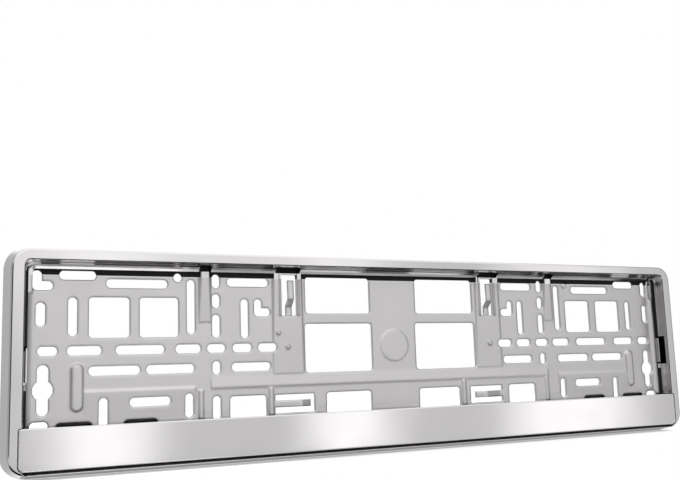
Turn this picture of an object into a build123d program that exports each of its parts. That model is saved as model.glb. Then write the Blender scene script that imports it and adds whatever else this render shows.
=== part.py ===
"""Number plate holder: a moulded base frame with a slotted panel, and the strip that snaps in along its foot.

The back lies in the plane y = 0 against the car, the front faces -Y, X runs along the plate and +Z is up.
The origin is the middle of the back. Sizes are in mm.
"""
import math
import os

from build123d import *

# Number plate that the holder is made for
PLATE_L = 520.0
PLATE_H = 110.0
PLATE_T = 1.2
PLATE_PLAY = 1.0

# Rim of the base frame, a hollow section that is open at the back, stiffened by cross webs
DEPTH = 15.0
WALL = 2.0
PANEL_T = 2.0
DRAFT = 2.0
FLANGE_SIDE = 8.0
FLANGE_TOP = 7.0
BOTTOM_LIP = 1.8
FLARE = 3.2
CORNER_R = 12.0
FOOT_R = 6.0
FOOT_CORNER_R = 0.5
MOUTH_R = 3.5
FRONT_R = 1.4
MOUTH_EDGE = 0.5
WEB_T = 1.4
WEB_SET_BACK = 1.5

# Retaining strip along the foot of the plate
STRIP_H = 25.4
STRIP_COVER = 11.0
STRIP_WALL = 1.8
STRIP_END = 2.3
STRIP_R = 0.8
STRIP_EDGE = 0.6
STRIP_CORNER_R = 3.5
SEAM = 0.3

# Snap hooks of the strip and their catches on the panel
HOOK_W = 12.0
HOOK_T = 1.8
BARB = 0.9
BARB_L = 2.0
CATCH_T = 2.2
CATCH_LIP = 2.6
SNAP_GAP = 0.2

# Holes in the panel
SLOT_W = 5.8
WINDOW_R = 2.5
KEY_SLOT_W = 7.0
KEY_HEAD_D = 12.4
BLIND_DEPTH = 0.8
PRY_DEPTH = 1.4

# Raised forms on the panel that carry the plate clear of the screw heads
SEAT = 2.4
SEAT_SLOPE = 43.0
RAMP_FOOT = 0.4
COLUMN_W = 23.5
RIB_W = 9.0
END_BEAD_W = 8.5
END_BEAD_H = 1.5
BEAD_STEEP = 1.6
BEAD_FADE = 8.0
LONG_FADE = 15.0
STEP_H = 0.7
BEAD_H = 0.9
LOW_RIB_W = 4.0
CORNER_SEAT_W = 4.0
CORNER_SEAT_SLOPE = 12.0
DISC_D = 24.0
DISC_H = 0.5
PIP_D = 3.0
GUIDE_W = 1.3
GUIDE_H = 0.6

# Openings in the inner wall of the rim
COLUMN_WINDOW_W = 18.5
RIB_WINDOW_W = 8.4
WINDOW_F = 9.0
WINDOW_DROP = 2.2

# Spring tongues and side nibs that take the play out of the plate
TONGUE_T = 1.4
TONGUE_W = 4.6
TONGUE_BOW = 1.8
TONGUE_BEND_R = 2.0
TONGUE_ROOT = 1.0
SPRING_ROOM_W = 12.4
FINGER_ROOM_H = 12.5
NIB_L = 20.5
NIB_H = 5.6
NIB_T = 1.5
NIB_GRIP = 0.3
NIB_ROOM = 1.5

# Outline of the frame, worked out from the plate outwards
POCKET_X = PLATE_L / 2 + PLATE_PLAY
POCKET_R = FOOT_R + FOOT_CORNER_R
MOUTH_X = POCKET_X + DRAFT
STRIP_X = MOUTH_X + STRIP_END
FRONT_X = MOUTH_X + FLANGE_SIDE
BACK_X = FRONT_X + FLARE
ABOVE_PLATE = PLATE_PLAY + DRAFT + FLANGE_TOP + FLARE
BELOW_PLATE = STRIP_H - STRIP_COVER + SEAM + BOTTOM_LIP + FLARE
HEIGHT = ABOVE_PLATE + PLATE_H + BELOW_PLATE
BACK_Z = HEIGHT / 2
FRONT_Z = BACK_Z - FLARE
MOUTH_TOP = FRONT_Z - FLANGE_TOP
POCKET_TOP = MOUTH_TOP - DRAFT
PLATE_TOP = POCKET_TOP - PLATE_PLAY
PLATE_MID = PLATE_TOP - PLATE_H / 2
PLATE_FOOT = PLATE_TOP - PLATE_H
STRIP_TOP = PLATE_FOOT + STRIP_COVER
STRIP_FOOT = STRIP_TOP - STRIP_H
LIP_Z = STRIP_FOOT - SEAM
SEAT_F = PANEL_T + SEAT
COLUMN_F = SEAT_F - GUIDE_H

# Hooks and catches below the plate
HOOK_Z = PLATE_FOOT - SNAP_GAP - CATCH_T - BARB - SNAP_GAP - HOOK_T / 2
CATCH_F = PANEL_T + BARB_L + 2 * SNAP_GAP
HOOK_FOOT = PANEL_T + SNAP_GAP

# Grid of the panel's layout: places and lengths on it are steps of the plate's length and height
STEP_X = PLATE_L / 520
STEP_Z = PLATE_H / 110
HOOK_SPOTS = (-222, -133, -45, 45, 133, 222)
TOP_WEBS = (-225, -175, -120, -60, 0, 60, 120, 175, 225)
SIDE_WEBS = (-28, 22)
COLUMN_X = 85.5
RIB_X = 146
SPRING_X = 84.5
SPRING_FOOT = 24
SPRING_L = 29
FINGER_X = 81
FINGER_Z = -37
FINGER_L = 30
END_BEAD_X = 229.5
NIB_Z = -6.5


def along(x):
    """Place along the panel from its middle, or a length along it."""
    return x * STEP_X


def tall(z):
    """Length up the panel."""
    return z * STEP_Z


def up(z):
    """Height of a row, from the middle of the plate."""
    return PLATE_MID + tall(z)


def prism(sketch, back, front, slope=0.0):
    """Sketch in the XZ plane, drawn forward between two distances from the back plane."""
    return extrude(Plane.XZ.offset(back) * sketch, amount=front - back, taper=slope)


def rounded(x0, x1, z0, z1, radius):
    """Rectangle with round corners, by its edges."""
    return Pos((x0 + x1) / 2, (z0 + z1) / 2) * RectangleRounded(x1 - x0, z1 - z0, radius)


def slab(x0, x1, z0, z1, back, front):
    """Plain block by its edges and its distances from the back plane."""
    return prism(Pos((x0 + x1) / 2, (z0 + z1) / 2) * Rectangle(x1 - x0, z1 - z0), back, front)


def drafted(*steps):
    """Block whose straight sides run from outline to outline, each given with its distance from the back."""
    return loft([Plane.XZ.offset(front) * outline for outline, front in steps], ruled=True)


def rim_step(inset, front):
    """Outline of the flared rim at a distance from the back plane, less a wall all round."""
    inset += FLARE * front / DEPTH
    return RectangleRounded(2 * (BACK_X - inset), 2 * (BACK_Z - inset), CORNER_R + FLARE - inset), front


def rim_block():
    """Outer form of the rim, its front edge rounded in three flats."""
    steps = [rim_step(0, 0)]
    for angle in (0, 30, 60, 90):
        turn = math.radians(angle)
        steps.append(rim_step(FRONT_R * (1 - math.cos(turn)), DEPTH - FRONT_R * (1 - math.sin(turn))))
    return drafted(*steps)


def strip_outline(grow):
    """Front outline of the strip, rounder at its lower corners, where it follows the rim."""
    middle = Pos(0, (STRIP_TOP + STRIP_FOOT) / 2)
    outline = middle * Rectangle(2 * (STRIP_X - SEAM + grow), STRIP_H + 2 * grow)
    corners = outline.vertices().group_by(Axis.Y)
    outline = fillet(corners[0], STRIP_CORNER_R + grow)
    return fillet(outline.vertices().group_by(Axis.Y)[-1], STRIP_R + grow)


def pocket_step(grow, front):
    """Outline of the room for the plate at a distance from the back plane, with the draft of its walls."""
    share = max(front - PANEL_T, 0) / (DEPTH - PANEL_T)
    radius = POCKET_R + (MOUTH_R - POCKET_R) * share + grow
    grow += DRAFT * share
    return rounded(-POCKET_X - grow, POCKET_X + grow, LIP_Z - grow, POCKET_TOP + grow, radius), front


def plate_room():
    """Room for the plate: its walls round up from the panel in short flats, then widen to the front."""
    steps = []
    for angle in range(0, 91, 18):
        turn = math.radians(angle)
        steps.append(pocket_step(FOOT_R * (math.sin(turn) - 1), PANEL_T + FOOT_R * (1 - math.cos(turn))))
    return drafted(*steps, pocket_step(0, DEPTH))


def rim_hollow():
    """Inside of the rim above the strip, cut up by the cross webs and closed behind the wall's windows."""
    hollow = drafted(rim_step(WALL, 0), rim_step(WALL, DEPTH - WALL))
    hollow -= drafted(pocket_step(WALL, 0), pocket_step(WALL, PANEL_T), pocket_step(WALL, DEPTH))
    hollow -= prism(strip_outline(SEAM + WALL), 0, DEPTH)
    hollow -= slab(-BACK_X, BACK_X, -BACK_Z, STRIP_TOP - STRIP_H / 2, 0, DEPTH)
    for x in TOP_WEBS:
        hollow -= slab(along(x) - WEB_T / 2, along(x) + WEB_T / 2, 0, BACK_Z, WEB_SET_BACK, DEPTH)
    for z in SIDE_WEBS:
        hollow -= slab(-BACK_X, BACK_X, up(z) - WEB_T / 2, up(z) + WEB_T / 2, WEB_SET_BACK, DEPTH)
    for side in (-1, 1):
        for x, width in ((side * along(COLUMN_X), COLUMN_W), (side * along(RIB_X), RIB_W)):
            reach = width / 2 + DEPTH
            hollow -= slab(x - reach, x + reach, 0, BACK_Z, 0, PANEL_T)
    reach = NIB_L / 2 + NIB_ROOM + WALL
    hollow -= slab(-BACK_X, BACK_X, up(NIB_Z) - reach, up(NIB_Z) + reach, 0, PANEL_T)
    return hollow


def both_sides(shapes_of_side):
    """Left and right copies of a list of shapes, given the side as -1 or 1."""
    return [shape for side in (-1, 1) for shape in shapes_of_side(side)]


def opening(width, height, radius):
    """Outline whose round corners are drawn with short flats just outside the arc, to keep the mesh light."""
    reach = radius / math.cos(math.radians(15))
    corners = []
    for angle in range(15, 360, 30):
        side_x, side_y = math.cos(math.radians(angle)), math.sin(math.radians(angle))
        x = math.copysign(width / 2 - radius, side_x) + reach * side_x
        y = math.copysign(height / 2 - radius, side_y) + reach * side_y
        corners.append((x, y))
    return Polygon(*corners)


def row(side, z, spots):
    """Level slots of one row, as pairs of place and length."""
    return [Pos(side * along(x), up(z)) * opening(along(length), SLOT_W, SLOT_W / 2) for x, length in spots]


def column(side, x, spots):
    """Upright slots of one column, as pairs of height and length."""
    return [Pos(side * along(x), up(z)) * opening(SLOT_W, tall(length), SLOT_W / 2) for z, length in spots]


def window(side, x, z, width, height):
    """Large opening with round corners."""
    return Pos(side * along(x), up(z)) * opening(along(width), tall(height), WINDOW_R)


def angle_slot(side, x, z, length):
    """Slot bent to an L, open towards the middle of the panel."""
    reach = tall(length) / 2 - SLOT_W / 2
    upright = Pos(side * (along(x) + reach), up(z)) * opening(SLOT_W, tall(length), SLOT_W / 2)
    level = Pos(side * along(x), up(z) - reach) * opening(tall(length), SLOT_W, SLOT_W / 2)
    return upright + level


def key_slot(side):
    """Keyhole for a screw that is already in place, with the head hole in the middle."""
    slot = opening(KEY_SLOT_W, tall(31), KEY_SLOT_W / 2)
    return Pos(side * along(250), up(-22)) * (slot + opening(KEY_HEAD_D, KEY_HEAD_D, KEY_HEAD_D / 2))


def screw_slots(side):
    """Slots for the fixing screws, given by place, height and length."""
    spots = [(191.5, 45, 40.5), (189.5, 2, 32), (206, -11, 33)]
    return [Pos(side * along(x), up(z)) * SlotOverall(along(length), SLOT_W) for x, z, length in spots]


def spare_holes(side):
    """Every other opening that both halves of the panel share."""
    rows = row(side, 50, [(229.5, 23)]) + row(side, 47, [(114.75, 30.5)])
    rows += row(side, 2, [(247.5, 12), (225, 21.5), (157.5, 17.5), (138, 13), (119.5, 14), (101, 14)])
    rows += row(side, -11, [(169.5, 32.5), (113, 28.5)]) + row(side, -31.5, [(183, 27)])
    rows += row(side, -44, [(252, 11)])
    ends = column(side, 252, [(25, 15)]) + column(side, 232.5, [(23.5, 24.5)])
    ends += column(side, 213, [(-37, 18)]) + column(side, 157, [(-35, 15.5)])
    inner = column(side, 155.5, [(30, 36.5)]) + column(side, 117.5, [(22, 27)])
    inner += column(side, 138, [(47.5, 9.5), (34, 9.5), (17, 15.5), (-11, 9)])
    squares = [window(side, x, 23, 26, 26) for x in (209.5, 177)]
    large = [window(side, 45.5, 38.5, 52, 26), window(side, 45.5, 1, 54, 34.5)]
    low = [window(side, 115.5, -38, 26.5, 15), window(side, 38.5, -38, 36.5, 15)]
    return rows + ends + inner + squares + large + low + [angle_slot(side, 104.5, 29.5, 12), key_slot(side)]


def odd_holes():
    """Openings that only one half has."""
    left = [angle_slot(-1, 251, 46.5, 12.5), *column(-1, 138, [(-37.5, 15.5)])]
    round_hole = Pos(along(-164.5), up(49.5)) * opening(SLOT_W, SLOT_W, SLOT_W / 2)
    return left + column(1, 252, [(46.5, 12.5)]) + [round_hole]


def shallow_pockets(side):
    """Recesses that do not go through: two along the top edge of the strip, where it is prised off."""
    return row(side, -45.5, [(231, 22), (189, 22)])


def tongue_rooms(side):
    """Openings that the spring tongues stand in."""
    spring = rounded(-SPRING_ROOM_W / 2, SPRING_ROOM_W / 2, 0, tall(SPRING_L), TONGUE_ROOT)
    finger = RectangleRounded(along(FINGER_L), FINGER_ROOM_H, TONGUE_ROOT)
    return [
        Pos(side * along(SPRING_X), up(SPRING_FOOT)) * spring,
        Pos(side * along(FINGER_X), up(FINGER_Z)) * finger,
    ]


def spring_tongue(side):
    """Tongue rooted at the foot of its opening, bent out and up again so that it bears on the plate."""
    root, length = up(SPRING_FOOT) - TONGUE_ROOT, tall(SPRING_L)
    flat, bow = PANEL_T - TONGUE_T / 2, SEAT_F + TONGUE_BOW
    heights = [root + length * share for share in (0, 0.26, 0.43, 0.88)]
    depths = (-flat, -flat, -bow, -bow + TONGUE_T / 2)
    strip = trace(FilletPolyline(*zip(depths, heights), radius=TONGUE_BEND_R), TONGUE_T)
    return extrude(Plane.YZ.offset(side * along(SPRING_X)) * strip, amount=TONGUE_W / 2, both=True)


def finger_tongue(side):
    """Tongue rooted at the outer end of its opening, with one bow towards the plate."""
    root, length = along(FINGER_X + FINGER_L / 2) + TONGUE_ROOT, along(FINGER_L)
    flat, bow = PANEL_T - TONGUE_T / 2, SEAT_F + TONGUE_BOW / 2
    places = [side * (root - length * share) for share in (0, 0.13, 0.63, 0.9)]
    depths = (-flat, -flat, -bow, -flat - TONGUE_T / 2)
    strip = trace(FilletPolyline(*zip(places, depths), radius=2 * TONGUE_BEND_R), TONGUE_T)
    return extrude(Plane.XY.offset(up(FINGER_Z)) * strip, amount=TONGUE_W / 2, both=True)


def ramp(x, width, low, front):
    """Pad that rises from its foot to the top wall, with sloping sides."""
    top = POCKET_TOP + WALL / 2
    pad = prism(Pos(x, (low + top) / 2) * Rectangle(width, top - low), PANEL_T, front, SEAT_SLOPE)
    foot, clear = PANEL_T + RAMP_FOOT, 2 * front
    above = Polygon((-foot, low), (-front, top), (-clear, top), (-clear, low), align=None)
    return pad - extrude(Plane.YZ.offset(x) * above, amount=width, both=True)


def raised_pads(side):
    """Broad column and narrow rib that run up into the top wall."""
    column_pad = ramp(side * along(COLUMN_X), COLUMN_W, up(-16.5), COLUMN_F)
    return [column_pad, ramp(side * along(RIB_X), RIB_W, up(19.5), SEAT_F)]


def end_bead(side):
    """Round ended bead near the end of the panel."""
    return Pos(side * along(END_BEAD_X), up(-21)) * opening(END_BEAD_W, tall(30.5), END_BEAD_W / 2)


def guide_ribs(side):
    """Low ribs on the column, one along each side of the spring tongue's opening."""
    low, high = up(SPRING_FOOT), POCKET_TOP
    ribs = []
    for edge in (-1, 1):
        x = side * along(SPRING_X) + edge * (SPRING_ROOM_W + GUIDE_W) / 2
        ribs.append(slab(x - GUIDE_W / 2, x + GUIDE_W / 2, low, high, PANEL_T, SEAT_F))
    return ribs


def step_bead(x0, x1, steep, fade):
    """Low step along the panel, steep on one side and fading into the panel on the other."""
    crest, near = up(-24), up(-24) + steep
    far = crest - math.copysign(fade, steep)
    buried, front = PANEL_T / 2, PANEL_T + STEP_H
    points = [(-buried, near), (-PANEL_T, near), (-front, crest), (-PANEL_T, far), (-buried, far)]
    return extrude(Plane.YZ.offset(x0) * Polygon(*points, align=None), amount=x1 - x0, dir=(1, 0, 0))


def low_beads():
    """Steps along the panel: the long middle one looks down, the two outer ones look up."""
    start, stop = along(152.5), along(END_BEAD_X) - END_BEAD_W / 2
    spans = ((-stop, -start), (start, stop))
    outer = [step_bead(x0, x1, BEAD_STEEP, LONG_FADE) for x0, x1 in spans]
    return outer + [step_bead(-along(142), along(142), -BEAD_STEEP, BEAD_FADE)]


def low_ribs():
    """Short upright ribs below the steps."""
    ribs = [Pos(along(x), up(-35)) * Rectangle(LOW_RIB_W, tall(20)) for x in (-149, -99, 60, 140)]
    return [prism(rib, PANEL_T, PANEL_T + BEAD_H, SEAT_SLOPE) for rib in ribs]


def corner_seat(side):
    """Upright rib in the top corner that stops the plate from rattling."""
    x = side * (POCKET_X - CORNER_SEAT_W / 2 + WALL / 2)
    low, high = up(38), POCKET_TOP + WALL / 2
    outline = Pos(x, (low + high) / 2) * Rectangle(CORNER_SEAT_W + WALL, high - low)
    return prism(outline, PANEL_T, SEAT_F, CORNER_SEAT_SLOPE)


def side_nib(side):
    """Springy nib on the side wall that grips the end of the plate."""
    face = PLATE_L / 2 - NIB_GRIP
    low, high = up(NIB_Z) - NIB_L / 2, up(NIB_Z) + NIB_L / 2
    nib = slab(face, face + NIB_T, low, high, PANEL_T / 2, PANEL_T + NIB_H)
    nib = fillet(nib.edges().filter_by(Axis.Z).group_by(Axis.Y)[0], NIB_T / 3)
    return nib if side > 0 else mirror(nib, about=Plane.YZ)


def wall_windows(side):
    """Openings in the inner wall of the rim, above the columns and ribs and behind the nibs."""
    low, high = POCKET_TOP - WINDOW_DROP, MOUTH_TOP + WALL
    windows = []
    for x, width in ((side * along(COLUMN_X), COLUMN_WINDOW_W), (side * along(RIB_X), RIB_WINDOW_W)):
        windows.append(slab(x - width / 2, x + width / 2, low, high, PANEL_T, WINDOW_F))
    near, far = sorted((side * (POCKET_X - WALL / 2), side * (MOUTH_X + WALL)))
    reach = NIB_L / 2 + NIB_ROOM
    front = PANEL_T + NIB_H + 3 * NIB_ROOM
    return windows + [slab(near, far, up(NIB_Z) - reach, up(NIB_Z) + reach, PANEL_T, front)]


def catch(x):
    """Hooked post that the plate stands on and the strip snaps under."""
    low = HOOK_Z + HOOK_T / 2 + BARB + SNAP_GAP
    post = slab(x - HOOK_W / 2, x + HOOK_W / 2, low, low + CATCH_T, PANEL_T / 2, CATCH_F + CATCH_LIP)
    lip_low = HOOK_Z + HOOK_T / 2 + SNAP_GAP
    lip = slab(x - HOOK_W / 2, x + HOOK_W / 2, lip_low, low + CATCH_T, CATCH_F, CATCH_F + CATCH_LIP)
    return post + lip


def hook(x):
    """Tongue of the strip, with the barb that goes behind a catch."""
    low, high = HOOK_Z - HOOK_T / 2, HOOK_Z + HOOK_T / 2
    tongue = slab(x - HOOK_W / 2, x + HOOK_W / 2, low, high, HOOK_FOOT, DEPTH - STRIP_WALL / 2)
    barb = slab(x - HOOK_W / 2, x + HOOK_W / 2, low, high + BARB, HOOK_FOOT, HOOK_FOOT + BARB_L)
    return tongue + barb


def edges_at(shape, front):
    """Edges of a shape that lie in one plane parallel to the back."""
    return shape.edges().filter_by_position(Axis.Y, -front - 0.01, -front + 0.01)


def mouth_bevel():
    """Bevel along the inner edge of the rim, above the strip."""
    shrink = DRAFT * MOUTH_EDGE / (DEPTH - PANEL_T)
    low = STRIP_TOP - STRIP_H / 2
    inner = rounded(-MOUTH_X + shrink, MOUTH_X - shrink, low, MOUTH_TOP - shrink, MOUTH_R)
    outer_x, outer_top = MOUTH_X + MOUTH_EDGE, MOUTH_TOP + MOUTH_EDGE
    outer = rounded(-outer_x, outer_x, low, outer_top, MOUTH_R + MOUTH_EDGE)
    return drafted((inner, DEPTH - MOUTH_EDGE), (outer, DEPTH))


def make_rim():
    """Rim and bare panel, with the rooms for the plate and the strip."""
    strip_room = prism(strip_outline(SEAM), PANEL_T, DEPTH)
    return rim_block() - plate_room() - strip_room - mouth_bevel() - rim_hollow()


def make_base_frame():
    """Rim, panel and everything moulded on it, as one piece."""
    frame = make_rim()
    pads = both_sides(raised_pads)
    pads += [prism(end_bead(side), PANEL_T, PANEL_T + END_BEAD_H, SEAT_SLOPE) for side in (-1, 1)]
    pads += low_beads() + low_ribs()
    pads += [corner_seat(side) for side in (-1, 1)]
    pads.append(prism(Pos(0, up(2)) * RegularPolygon(DISC_D / 2, 24), PANEL_T, PANEL_T + DISC_H, SEAT_SLOPE))
    pads += both_sides(guide_ribs)
    for x, z in ((-86, 2), (86, 2), (-93, 12)):
        pads.append(prism(Pos(along(x), up(z)) * opening(PIP_D, PIP_D, PIP_D / 2), PANEL_T, SEAT_F))
    frame += pads

    holes = both_sides(screw_slots) + both_sides(spare_holes) + both_sides(tongue_rooms) + odd_holes()
    frame -= [prism(hole, 0, SEAT_F + FOOT_R) for hole in holes]
    blind_hole = Pos(along(164.5), up(49.5)) * opening(SLOT_W, SLOT_W, SLOT_W / 2)
    frame -= prism(blind_hole, PANEL_T - BLIND_DEPTH, SEAT_F + FOOT_R)
    frame -= [prism(pocket, PANEL_T - PRY_DEPTH, PANEL_T) for pocket in both_sides(shallow_pockets)]
    frame -= both_sides(wall_windows)

    for side in (-1, 1):
        frame += [side_nib(side), spring_tongue(side), finger_tongue(side)]
    frame += [catch(along(x)) for x in HOOK_SPOTS]
    return frame


def make_strip():
    """Front face with a leg all round, and the hooks on its inside."""
    end = STRIP_X - SEAM
    body = prism(strip_outline(0), PANEL_T, DEPTH)
    body = chamfer(edges_at(body, DEPTH), STRIP_EDGE)
    inside = (STRIP_FOOT + STRIP_WALL, STRIP_TOP - STRIP_WALL)
    body -= slab(-end + STRIP_WALL, end - STRIP_WALL, *inside, 0, DEPTH - STRIP_WALL)
    body -= slab(-end, end, PLATE_FOOT - PLATE_PLAY, STRIP_TOP, 0, SEAT_F + PLATE_T + SNAP_GAP)
    body += [hook(along(x)) for x in HOOK_SPOTS]
    return body


os.makedirs("parts", exist_ok=True)
export_step(make_base_frame(), "parts/base_frame.step")
export_step(make_strip(), "parts/retaining_strip.step")
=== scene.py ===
"""Number plate holder in chrome plated ABS: a slotted base frame and the strip that snaps in along its foot."""

import bpy
from mathutils import Matrix, Vector


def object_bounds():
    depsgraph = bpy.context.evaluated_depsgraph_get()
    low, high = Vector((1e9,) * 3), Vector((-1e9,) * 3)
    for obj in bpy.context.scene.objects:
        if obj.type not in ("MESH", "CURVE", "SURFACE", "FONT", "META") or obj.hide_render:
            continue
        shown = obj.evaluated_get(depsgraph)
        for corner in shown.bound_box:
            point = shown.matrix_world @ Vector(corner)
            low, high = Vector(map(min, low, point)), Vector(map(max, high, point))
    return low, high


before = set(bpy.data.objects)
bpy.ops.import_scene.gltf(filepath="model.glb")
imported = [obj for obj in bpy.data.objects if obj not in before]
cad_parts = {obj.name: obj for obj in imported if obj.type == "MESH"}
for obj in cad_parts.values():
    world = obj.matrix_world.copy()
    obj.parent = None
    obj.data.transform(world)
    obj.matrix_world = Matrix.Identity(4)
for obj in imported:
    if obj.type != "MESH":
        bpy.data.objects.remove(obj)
cad_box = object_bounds()
scene = bpy.context.scene


# Base frame
# One injection moulding in ABS, plated with copper, nickel and bright chrome. The rim is polished in the mould,
# the panel has a fine spark-eroded grain that the plating keeps, and hardly any metal reaches the rim's hollow.

# Sizes in mm: the flared rim, the pocket inside it with its drafted walls, and the rim's outline at the back
RIM_DEPTH = 15.0
RIM_FLARE = 3.2
RIM_WALL = 2.0
POCKET_HALF = 261.0
POCKET_TOP = 59.25
POCKET_DRAFT = 2.0
PANEL_FRONT = 2.0
FOOT_ROUND = 6.0
BACK_HALF = 274.2
BACK_TOP = 71.45
BACK_ROUND = 15.2

CHROME = "C2C0C1"
SATIN = "BEBCBD"
# Dark of the bare plastic in the rim's hollow, also used as painted shade in the deep corners
BARE_ABS_AND_PAINTED_SHADE = "0F0F11"


def linear(code):
    """Linear colour with alpha from an sRGB hex code."""
    shares = [int(code[i:i + 2], 16) / 255 for i in (0, 2, 4)]
    return [s / 12.92 if s <= 0.04045 else ((s + 0.055) / 1.055) ** 2.4 for s in shares] + [1.0]


def add(tree, kind, inputs=None, **settings):
    """Adds a node with its settings, and fills its inputs with values or links."""
    made = tree.nodes.new(kind)
    for name, value in settings.items():
        setattr(made, name, value)
    for name, value in (inputs or {}).items():
        if isinstance(value, bpy.types.NodeSocket):
            tree.links.new(value, made.inputs[name])
        else:
            made.inputs[name].default_value = value
    return made


def new_tree(name):
    """A material with an empty node tree, and that tree."""
    material = bpy.data.materials.new(name)
    material.use_nodes = True
    material.node_tree.nodes.clear()
    return material, material.node_tree


# Polished chrome has a faint plating haze and the slow waves of a moulded wall; the panel's grain is 0.1 mm in
# fact and is drawn at 0.9 mm, since a finer one doesn't show.
HAZE_MM = 22.0
WAVE_MM = 38.0
GRAIN_MM = 0.9

plated_frame, tree = new_tree("chrome_plated_ABS_polished_rim_satin_panel")
place = add(tree, "ShaderNodeTexCoord").outputs["Object"]
in_mm = add(tree, "ShaderNodeVectorMath", {0: place, "Scale": 1000.0}, operation="SCALE").outputs[0]
axes = add(tree, "ShaderNodeSeparateXYZ", {0: in_mm})
across = add(tree, "ShaderNodeMath", {0: axes.outputs["X"]}, operation="ABSOLUTE").outputs[0]
front = add(tree, "ShaderNodeMath", {0: axes.outputs["Y"], 1: -1.0}, operation="MULTIPLY").outputs[0]
height = axes.outputs["Z"]

# Distance from the foot of the pocket's walls, positive inside the pocket. The grain runs up to the side walls,
# and along the top it stops short of the polished round at the wall's foot.
GRAIN_GAP = 1.4
GRAIN_FADE = 0.6
from_side = add(tree, "ShaderNodeMath", {0: POCKET_HALF, 1: across}, operation="SUBTRACT").outputs[0]
from_top = add(tree, "ShaderNodeMath", {0: POCKET_TOP, 1: height}, operation="SUBTRACT").outputs[0]
from_wall = add(tree, "ShaderNodeMath", {0: from_side, 1: from_top}, operation="MINIMUM").outputs[0]
by_side = add(tree, "ShaderNodeMapRange", {
    "Value": from_side, "From Min": GRAIN_GAP, "From Max": GRAIN_GAP + GRAIN_FADE}).outputs[0]
by_top = add(tree, "ShaderNodeMapRange", {
    "Value": from_top, "From Min": FOOT_ROUND, "From Max": FOOT_ROUND + GRAIN_FADE}).outputs[0]
satin = add(tree, "ShaderNodeMath", {0: by_side, 1: by_top}, operation="MINIMUM").outputs[0]

# Inside of the hollow rim: behind the inner wall, short of the outer skirt and behind the flange
lean = add(tree, "ShaderNodeMath", {0: front, 1: RIM_FLARE / RIM_DEPTH}, operation="MULTIPLY").outputs[0]
draft = add(tree, "ShaderNodeMath", {
    0: front, 1: POCKET_DRAFT / (RIM_DEPTH - PANEL_FRONT)}, operation="MULTIPLY").outputs[0]
behind = add(tree, "ShaderNodeMath", {0: from_wall, 1: draft}, operation="ADD").outputs[0]
behind_wall = add(tree, "ShaderNodeMath", {0: behind, 1: -RIM_WALL / 2}, operation="LESS_THAN").outputs[0]
up_or_down = add(tree, "ShaderNodeMath", {0: height}, operation="ABSOLUTE").outputs[0]
corner_x = add(tree, "ShaderNodeMath", {0: across, 1: BACK_HALF - BACK_ROUND}, operation="SUBTRACT").outputs[0]
corner_x = add(tree, "ShaderNodeMath", {0: corner_x, 1: 0.0}, operation="MAXIMUM").outputs[0]
corner_z = add(tree, "ShaderNodeMath", {0: up_or_down, 1: BACK_TOP - BACK_ROUND}, operation="SUBTRACT").outputs[0]
corner_z = add(tree, "ShaderNodeMath", {0: corner_z, 1: 0.0}, operation="MAXIMUM").outputs[0]
corner = add(tree, "ShaderNodeCombineXYZ", {"X": corner_x, "Y": corner_z}).outputs[0]
reach = add(tree, "ShaderNodeVectorMath", {0: corner}, operation="LENGTH").outputs["Value"]
from_skirt = add(tree, "ShaderNodeMath", {0: BACK_ROUND, 1: reach}, operation="SUBTRACT").outputs[0]
from_skirt = add(tree, "ShaderNodeMath", {0: from_skirt, 1: lean}, operation="SUBTRACT").outputs[0]
short_of_skirt = add(tree, "ShaderNodeMath", {0: from_skirt, 1: RIM_WALL / 2}, operation="GREATER_THAN").outputs[0]
behind_flange = add(tree, "ShaderNodeMath", {
    0: front, 1: RIM_DEPTH - RIM_WALL / 2}, operation="LESS_THAN").outputs[0]
bare_and_painted_shade_places = add(tree, "ShaderNodeMath", {0: behind_wall, 1: short_of_skirt}, operation="MULTIPLY").outputs[0]
bare_and_painted_shade_places = add(tree, "ShaderNodeMath", {0: bare_and_painted_shade_places, 1: behind_flange}, operation="MULTIPLY").outputs[0]

# Deep corners painted dark as shade, in the dark of the bare hollow: (middle across, half width, middle height,
# half height, front) of the windows over the columns and the ribs, of the blind pry pockets just above the strip,
# of the corners along the side walls above and below the nibs, and of the one along the top wall. The back face is
# plated all over.
PAINTED_SHADE_CORNERS = (
    (85.5, 9.3, 60.0, 2.98, 9.05), (146.0, 4.25, 60.0, 2.98, 9.05),
    (189.0, 11.05, -42.75, 2.5, 1.9), (231.0, 11.05, -42.75, 2.5, 1.9),
    (261.1, 1.3, 32.4, 26.9, 6.5), (261.1, 1.3, -32.25, 13.75, 6.5),
    (0.0, 256.0, 55.2, 1.8, 3.6))
BACK_SKIN = 0.3
off_back = add(tree, "ShaderNodeMath", {0: front, 1: BACK_SKIN}, operation="GREATER_THAN").outputs[0]
for mid_x, half_x, mid_z, half_z, deep in PAINTED_SHADE_CORNERS:
    off_x = add(tree, "ShaderNodeMath", {0: across, 1: mid_x, 2: half_x}, operation="COMPARE").outputs[0]
    off_z = add(tree, "ShaderNodeMath", {0: height, 1: mid_z, 2: half_z}, operation="COMPARE").outputs[0]
    within = add(tree, "ShaderNodeMath", {0: front, 1: deep}, operation="LESS_THAN").outputs[0]
    shaded_nook = add(tree, "ShaderNodeMath", {0: off_x, 1: off_z}, operation="MULTIPLY").outputs[0]
    shaded_nook = add(tree, "ShaderNodeMath", {0: shaded_nook, 1: within}, operation="MULTIPLY").outputs[0]
    shaded_nook = add(tree, "ShaderNodeMath", {0: shaded_nook, 1: off_back}, operation="MULTIPLY").outputs[0]
    bare_and_painted_shade_places = add(tree, "ShaderNodeMath", {0: bare_and_painted_shade_places, 1: shaded_nook}, operation="MAXIMUM").outputs[0]

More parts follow.
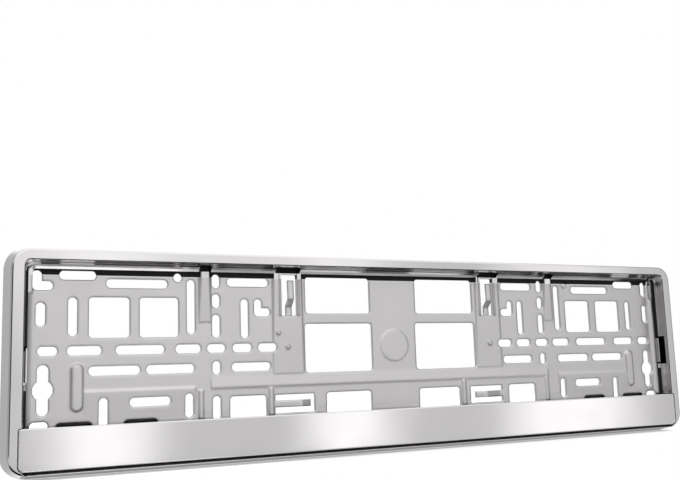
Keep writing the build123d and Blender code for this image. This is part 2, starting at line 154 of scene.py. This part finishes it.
# The haze spreads each finish over a small range of roughness. The pocket's walls are harder to polish than the
# rim's face, and blur what they mirror.
HAZE_RANGE = {"From Min": 0.3, "From Max": 0.7}
RIM_ROUGH = (0.04, 0.10)
PANEL_ROUGH = (0.38, 0.42)
WALL_ROUGHER = 0.12
MOUTH_SLACK = 0.2
MOUTH_EDGE = 1.0
haze = add(tree, "ShaderNodeTexNoise", {"Vector": in_mm, "Scale": 1.0 / HAZE_MM, "Detail": 1.0}).outputs[0]
waves = add(tree, "ShaderNodeTexNoise", {"Vector": in_mm, "Scale": 1.0 / WAVE_MM, "Detail": 0.0}).outputs[0]
grain = add(tree, "ShaderNodeTexNoise", {"Vector": in_mm, "Scale": 1.0 / GRAIN_MM, "Detail": 1.0}).outputs[0]
polished = add(tree, "ShaderNodeMapRange", {
    "Value": haze, **HAZE_RANGE, "To Min": RIM_ROUGH[0], "To Max": RIM_ROUGH[1]}).outputs[0]
matted = add(tree, "ShaderNodeMapRange", {
    "Value": haze, **HAZE_RANGE, "To Min": PANEL_ROUGH[0], "To Max": PANEL_ROUGH[1]}).outputs[0]
in_mouth = add(tree, "ShaderNodeMath", {
    0: from_wall, 1: -POCKET_DRAFT - MOUTH_SLACK}, operation="GREATER_THAN").outputs[0]
below_edge = add(tree, "ShaderNodeMath", {0: front, 1: RIM_DEPTH - MOUTH_EDGE}, operation="LESS_THAN").outputs[0]
on_wall = add(tree, "ShaderNodeMath", {0: in_mouth, 1: below_edge}, operation="MULTIPLY").outputs[0]
polished = add(tree, "ShaderNodeMath", {
    0: on_wall, 1: WALL_ROUGHER, 2: polished}, operation="MULTIPLY_ADD").outputs[0]
rough = add(tree, "ShaderNodeMix", {"Factor": satin, 2: polished, 3: matted}).outputs[0]
colour = add(tree, "ShaderNodeMix", {
    "Factor": satin, 6: linear(CHROME), 7: linear(SATIN)}, data_type="RGBA").outputs[2]

# Plating rounds the edges, in metres here: more on the panel than on the rim, and less by as much as the rim's
# along the foot of the walls, which is rounded in the mould
RIM_EDGE = 0.0004
PANEL_EDGE = 0.0022
FOOT_SLACK = 0.3
on_foot = add(tree, "ShaderNodeMath", {
    0: from_wall, 1: FOOT_ROUND / 2, 2: FOOT_ROUND / 2 + FOOT_SLACK}, operation="COMPARE").outputs[0]
on_foot = add(tree, "ShaderNodeMath", {0: on_foot, 1: RIM_EDGE}, operation="MULTIPLY").outputs[0]
edge = add(tree, "ShaderNodeMapRange", {"Value": satin, "To Min": RIM_EDGE, "To Max": PANEL_EDGE}).outputs[0]
edge = add(tree, "ShaderNodeMath", {0: edge, 1: on_foot}, operation="SUBTRACT").outputs[0]
soft_edge = add(tree, "ShaderNodeBevel", {"Radius": edge}, samples=10).outputs[0]

GRAIN_BITE = 0.04
WAVE_BITE = 0.1
bite = add(tree, "ShaderNodeMath", {0: satin, 1: GRAIN_BITE}, operation="MULTIPLY").outputs[0]
grained = add(tree, "ShaderNodeBump", {
    "Height": grain, "Strength": bite, "Distance": 0.0002, "Normal": soft_edge}).outputs[0]
wavy = add(tree, "ShaderNodeBump", {
    "Height": waves, "Strength": WAVE_BITE, "Distance": 0.0015, "Normal": grained}).outputs[0]
chrome = add(tree, "ShaderNodeBsdfPrincipled", {
    "Base Color": colour, "Metallic": 1.0, "Roughness": rough, "Normal": wavy})
# Dark bare plastic in the rim's hollow, and painted shade in the deep corners
bare_and_painted_shade_bsdf = add(tree, "ShaderNodeBsdfPrincipled", {
    "Base Color": linear(BARE_ABS_AND_PAINTED_SHADE), "Roughness": 0.6, "Specular IOR Level": 0.2})
surface = add(tree, "ShaderNodeMixShader", {0: bare_and_painted_shade_places, 1: chrome.outputs[0], 2: bare_and_painted_shade_bsdf.outputs[0]})
add(tree, "ShaderNodeOutputMaterial", {"Surface": surface.outputs[0]})

base_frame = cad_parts["base_frame"]
base_frame.data.materials.clear()
base_frame.data.materials.append(plated_frame)


# Retaining strip
# A second moulding in the same ABS, polished flat on its face and chrome plated to a mirror. It is pushed in last,
# over the foot of the plate, and its hooks snap behind the catches on the panel.

# The mirror is as hazy as the rim's and a little flatter, so that it shows the lamps as bands with soft sides
STRIP_ROUGH = (0.04, 0.09)
plated_strip, tree = new_tree("chrome_plated_ABS_mirror")
place = add(tree, "ShaderNodeTexCoord").outputs["Object"]
in_mm = add(tree, "ShaderNodeVectorMath", {0: place, "Scale": 1000.0}, operation="SCALE").outputs[0]
haze = add(tree, "ShaderNodeTexNoise", {"Vector": in_mm, "Scale": 1.0 / HAZE_MM, "Detail": 1.0}).outputs[0]
waves = add(tree, "ShaderNodeTexNoise", {"Vector": in_mm, "Scale": 1.0 / WAVE_MM, "Detail": 0.0}).outputs[0]
rough = add(tree, "ShaderNodeMapRange", {
    "Value": haze, **HAZE_RANGE, "To Min": STRIP_ROUGH[0], "To Max": STRIP_ROUGH[1]}).outputs[0]
soft_edge = add(tree, "ShaderNodeBevel", {"Radius": RIM_EDGE}, samples=6).outputs[0]
wavy = add(tree, "ShaderNodeBump", {
    "Height": waves, "Strength": WAVE_BITE, "Distance": 0.001, "Normal": soft_edge}).outputs[0]
chrome = add(tree, "ShaderNodeBsdfPrincipled", {
    "Base Color": linear(CHROME), "Metallic": 1.0, "Roughness": rough, "Normal": wavy})
add(tree, "ShaderNodeOutputMaterial", {"Surface": chrome.outputs[0]})

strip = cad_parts["retaining_strip"]
strip.data.materials.clear()
strip.data.materials.append(plated_strip)


# Floor
# A pale matt card that the holder stands on. It glows evenly to be as white as the background and keeps a soft
# shadow, with painted shade under the rim where it glows less, and a painted pool of light where it glows brighter
# at the front on the left.

# In metres: the card, the painted pool's soft right edge and its back edge, and the middle, half depth and half
# length of the painted shade under the rim; and how much the card glows where it is plain, in the painted pool and
# in the painted shade
FLOOR_WHITE = "BFBFBF"
FLOOR_MIDDLE = (0.319, 0.414)
FLOOR_SIZE = (1.162, 0.912)
FLOOR_DROP = 0.0002
POOL_EDGE = (-0.09, -0.15)
POOL_BACK = -0.02
SHADE_MIDDLE = -0.004
SHADE_DEEP = 0.008
SHADE_LONG = 0.262
PLAIN_GLOW = 0.5
PAINTED_POOL_GLOW = 2.4
PAINTED_SHADE_GLOW = 0.32

bpy.ops.mesh.primitive_plane_add(size=1.0, location=(*FLOOR_MIDDLE, cad_box[0].z - FLOOR_DROP))
floor = bpy.context.object
floor.name = "floor"
floor.scale = (*FLOOR_SIZE, 1.0)
white_card, tree = new_tree("matt_white_card")
card = add(tree, "ShaderNodeBsdfDiffuse", {"Color": linear(FLOOR_WHITE)})
spot = add(tree, "ShaderNodeSeparateXYZ", {0: add(tree, "ShaderNodeNewGeometry").outputs["Position"]})
# Painted pool of light: the card glows brighter at the front on the left
pool = add(tree, "ShaderNodeMapRange", {
    "Value": spot.outputs["X"], "From Min": POOL_EDGE[0], "From Max": POOL_EDGE[1],
    "To Min": PLAIN_GLOW, "To Max": PAINTED_POOL_GLOW}, interpolation_type="SMOOTHSTEP").outputs[0]
before = add(tree, "ShaderNodeMath", {0: spot.outputs["Y"], 1: POOL_BACK}, operation="LESS_THAN").outputs[0]
# Painted shade: the card glows less in a narrow band under the rim
under = add(tree, "ShaderNodeMath", {
    0: spot.outputs["Y"], 1: SHADE_MIDDLE, 2: SHADE_DEEP}, operation="COMPARE").outputs[0]
along = add(tree, "ShaderNodeMath", {0: spot.outputs["X"], 1: 0.0, 2: SHADE_LONG}, operation="COMPARE").outputs[0]
under = add(tree, "ShaderNodeMath", {0: under, 1: along}, operation="MULTIPLY").outputs[0]
plain = add(tree, "ShaderNodeMapRange", {"Value": under, "To Min": PLAIN_GLOW, "To Max": PAINTED_SHADE_GLOW}).outputs[0]
strength = add(tree, "ShaderNodeMix", {"Factor": before, 2: plain, 3: pool}).outputs[0]
glow = add(tree, "ShaderNodeEmission", {"Strength": strength})
both = add(tree, "ShaderNodeAddShader", {0: card.outputs[0], 1: glow.outputs[0]})
add(tree, "ShaderNodeOutputMaterial", {"Surface": both.outputs[0]})
floor.data.materials.append(white_card)


# Studio
# A white light tent, brighter overhead, with three upright soft boxes to the right of the camera, which the strip
# mirrors as bright bands. Black cloth round the camera, low before the holder and off to its right gives the
# rounded edges their black lines. The camera itself sees the plain white tent.

# Brightness of the tent, its roof and the soft boxes, the height in degrees where the tent turns to roof and the
# boxes end, and each box's middle, half width and soft side in degrees
TENT = 1.0
ROOF = 1.65
BOX_LIGHT = 1.85
ROOF_RISE = (6.0, 30.0)
BOX_TOP = (15.0, -2.0)
SOFT_BOXES = ((11.0, 3.0, 2.3), (26.4, 2.6, 2.4), (40.3, 3.5, 2.2))

# Parts of the tent from left to right and from low to high, in degrees, the width of their soft edges, and how
# bright they are: first the lamp above the camera and the dimmer right and left sides, then the black cloths
TENT_SIDES = (
    (-8.0, 27.0, 4.0, 26.0, 7.0, 4.0, 1.34),
    (50.0, 86.0, -10.0, 50.0, 7.0, 12.0, 0.45),
    (-128.0, -54.0, -70.0, 45.0, 8.0, 12.0, 0.6),
    (-172.0, -128.0, -70.0, 60.0, 8.0, 12.0, 0.68))
BLACK = 0.008
CLOTHS = (
    (-50.0, -19.0, -6.0, 14.0, 5.0, 4.0, BLACK),
    (0.0, 51.0, -13.0, -6.3, 4.0, 1.5, BLACK),
    (0.0, 80.0, -99.0, -29.0, 4.0, 2.0, BLACK),
    (86.0, 118.0, -15.0, 9.0, 5.0, 5.0, BLACK),
    (-172.0, 0.0, -99.0, -32.0, 4.0, 3.0, BLACK))

world = bpy.data.worlds.new("light_tent")
scene.world = world
world.use_nodes = True
tree = world.node_tree
tree.nodes.clear()
ray = add(tree, "ShaderNodeTexCoord").outputs["Generated"]
ray_axes = add(tree, "ShaderNodeSeparateXYZ", {0: ray})
ahead = add(tree, "ShaderNodeMath", {0: ray_axes.outputs["Y"], 1: -1.0}, operation="MULTIPLY").outputs[0]
turn = add(tree, "ShaderNodeMath", {0: ray_axes.outputs["X"], 1: ahead}, operation="ARCTAN2").outputs[0]
turn = add(tree, "ShaderNodeMath", {0: turn}, operation="DEGREES").outputs[0]
level = add(tree, "ShaderNodeMath", {0: ray_axes.outputs["Z"]}, operation="ARCSINE").outputs[0]
level = add(tree, "ShaderNodeMath", {0: level}, operation="DEGREES").outputs[0]
light = add(tree, "ShaderNodeMapRange", {
    "Value": level, "From Min": ROOF_RISE[0], "From Max": ROOF_RISE[1], "To Min": TENT, "To Max": ROOF},
    interpolation_type="SMOOTHSTEP").outputs[0]


def hang(light, left, right, low, high, soft_turn, soft_level, bright):
    """The tent's light with one more part hung in it."""
    share = 1.0
    for value, limit, sense, soft in (
            (turn, left, 1.0, soft_turn), (turn, right, -1.0, soft_turn),
            (level, low, 1.0, soft_level), (level, high, -1.0, soft_level)):
        side = add(tree, "ShaderNodeMapRange", {
            "Value": value, "From Min": limit - sense * soft, "From Max": limit + sense * soft},
            interpolation_type="SMOOTHSTEP").outputs[0]
        share = add(tree, "ShaderNodeMath", {0: share, 1: side}, operation="MULTIPLY").outputs[0]
    return add(tree, "ShaderNodeMix", {"Factor": share, 2: light, 3: bright}).outputs[0]


for part in TENT_SIDES:
    light = hang(light, *part)
tall = add(tree, "ShaderNodeMapRange", {
    "Value": level, "From Min": BOX_TOP[0], "From Max": BOX_TOP[1]}, interpolation_type="SMOOTHSTEP").outputs[0]
for middle, half, soft in SOFT_BOXES:
    off = add(tree, "ShaderNodeMath", {0: turn, 1: middle}, operation="SUBTRACT").outputs[0]
    off = add(tree, "ShaderNodeMath", {0: off}, operation="ABSOLUTE").outputs[0]
    box = add(tree, "ShaderNodeMapRange", {
        "Value": off, "From Min": half + soft, "From Max": half - soft},
        interpolation_type="SMOOTHSTEP").outputs[0]
    box = add(tree, "ShaderNodeMath", {0: box, 1: tall}, operation="MULTIPLY").outputs[0]
    light = add(tree, "ShaderNodeMath", {
        0: box, 1: BOX_LIGHT - TENT, 2: light}, operation="MULTIPLY_ADD").outputs[0]
for part in CLOTHS:
    light = hang(light, *part)

path = add(tree, "ShaderNodeLightPath")
shown = add(tree, "ShaderNodeMix", {"Factor": path.outputs["Is Camera Ray"], 2: light, 3: TENT}).outputs[0]
tent = add(tree, "ShaderNodeBackground", {"Color": linear("FFFFFF"), "Strength": shown})
add(tree, "ShaderNodeOutputWorld", {"Surface": tent.outputs[0]})


# Camera
# At the height of the panel and to the left of the holder, as in the photograph, turned a little upward. Its place
# is in metres, and its lens is that of a 36 mm wide sensor.

CAMERA_AT = Vector((-0.3234, -0.5746, -0.0134))
CAMERA_AHEAD = Vector((0.43580, 0.88756, 0.14941)).normalized()
CAMERA_RIGHT = Vector((0.89931, -0.43611, -0.03243))
FOCAL_MM = 46.29
SENSOR_MM = 36.0

right = (CAMERA_RIGHT - CAMERA_AHEAD * CAMERA_RIGHT.dot(CAMERA_AHEAD)).normalized()
upward = right.cross(CAMERA_AHEAD)
lens = bpy.data.cameras.new("camera")
lens.sensor_width = SENSOR_MM
lens.sensor_fit = "HORIZONTAL"
lens.lens = FOCAL_MM
lens.clip_start = 0.01
camera = bpy.data.objects.new("camera", lens)
scene.collection.objects.link(camera)
turned = Matrix((right, upward, -CAMERA_AHEAD)).transposed().to_4x4()
camera.matrix_world = Matrix.Translation(CAMERA_AT) @ turned
scene.camera = camera
scene.view_settings.view_transform = "Standard"
